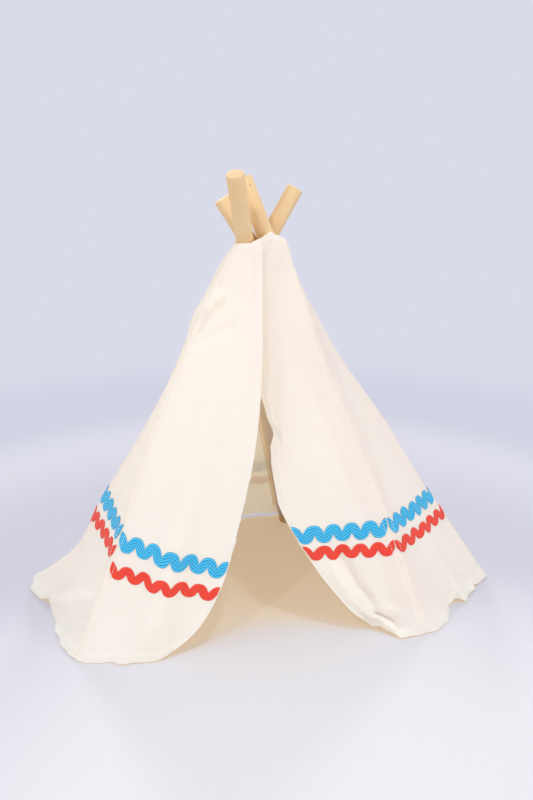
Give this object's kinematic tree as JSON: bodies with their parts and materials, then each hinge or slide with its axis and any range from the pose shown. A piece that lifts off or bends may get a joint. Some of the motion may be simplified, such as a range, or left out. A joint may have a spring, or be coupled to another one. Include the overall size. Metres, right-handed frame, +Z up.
{
  "type": "play teepee",
  "caption": "Small play teepee: crossed wooden poles under a loose cotton cover with door flaps and bands of rickrack braid.",
  "frame": {"origin": "on the floor, under the centre of the teepee's box", "axes": "+Z up, -Y to the front, where the door is, +X to the right seen from the front"},
  "size_m": [0.4738, 0.3078, 0.4179],
  "materials": {
    "pale_wood": "bare sanded softwood dowel",
    "canvas": "unbleached plain-weave cotton",
    "sleeve_cloth": "unbleached plain-weave cotton",
    "blue_braid": "woven rickrack braid",
    "red_braid": "woven rickrack braid"
  },
  "bodies": {
    "back": {"pole_back": "pale_wood", "sleeve_back": "sleeve_cloth", "back_left_panel": "canvas", "back_right_panel": "canvas", "blue_braid_back_left_panel": "blue_braid", "red_braid_back_left_panel": "red_braid", "blue_braid_back_right_panel": "blue_braid", "red_braid_back_right_panel": "red_braid"},
    "left": {"pole_left": "pale_wood", "sleeve_left": "sleeve_cloth", "left_side_panel": "canvas", "blue_braid_left_side_panel": "blue_braid", "red_braid_left_side_panel": "red_braid"},
    "back_right": {"pole_back_right": "pale_wood", "sleeve_back_right": "sleeve_cloth", "right_side_panel": "canvas", "blue_braid_right_side_panel": "blue_braid", "red_braid_right_side_panel": "red_braid"},
    "front_right": {"pole_front_right": "pale_wood", "sleeve_front_right": "sleeve_cloth"},
    "left_flap": {"left_flap": "canvas", "blue_braid_left_flap": "blue_braid", "red_braid_left_flap": "red_braid"},
    "right_flap": {"right_flap": "canvas", "blue_braid_right_flap": "blue_braid", "red_braid_right_flap": "red_braid"}
  },
  "joints": [
    {"name": "left_pole_fold", "type": "hinge", "parent": "back", "child": "left", "pos_m": [-0.00239, -0.00249, 0.32198], "axis": [0.6531, -0.7131, -0.255], "range_deg": [0, 41.6], "deforming": ["sleeve_back", "back_left_panel", "back_right_panel", "blue_braid_back_left_panel", "red_braid_back_left_panel", "blue_braid_back_right_panel", "red_braid_back_right_panel", "sleeve_left", "left_side_panel", "blue_braid_left_side_panel", "red_braid_left_side_panel", "sleeve_back_right", "right_side_panel", "blue_braid_right_side_panel", "red_braid_right_side_panel", "sleeve_front_right", "left_flap", "blue_braid_left_flap", "red_braid_left_flap", "right_flap", "blue_braid_right_flap", "red_braid_right_flap"]},
    {"name": "back_right_pole_fold", "type": "hinge", "parent": "back", "child": "back_right", "pos_m": [0.00481, 0.00581, 0.31708], "axis": [0.5759, 0.7119, 0.4019], "range_deg": [0, 29.9]},
    {"name": "front_right_pole_fold", "type": "hinge", "parent": "back_right", "child": "front_right", "pos_m": [0.00962, -0.00519, 0.3279], "axis": [0.6681, -0.6001, 0.44], "range_deg": [0, 12.3]},
    {"name": "left_flap_swing", "type": "hinge", "parent": "left", "child": "left_flap", "pos_m": [-0.09301, -0.08779, 0.1775], "axis": [-0.3612, -0.276, -0.8907], "range_deg": [0, 110]},
    {"name": "right_flap_swing", "type": "hinge", "parent": "front_right", "child": "right_flap", "pos_m": [0.08871, -0.06121, 0.18076], "axis": [-0.3443, 0.2302, 0.9102], "range_deg": [0, 110]}
  ],
  "couplings": [
    {"joint": "back_right_pole_fold", "follows": "left_pole_fold", "ratio": 0.7184},
    {"joint": "front_right_pole_fold", "follows": "left_pole_fold", "ratio": 0.2939}
  ]
}
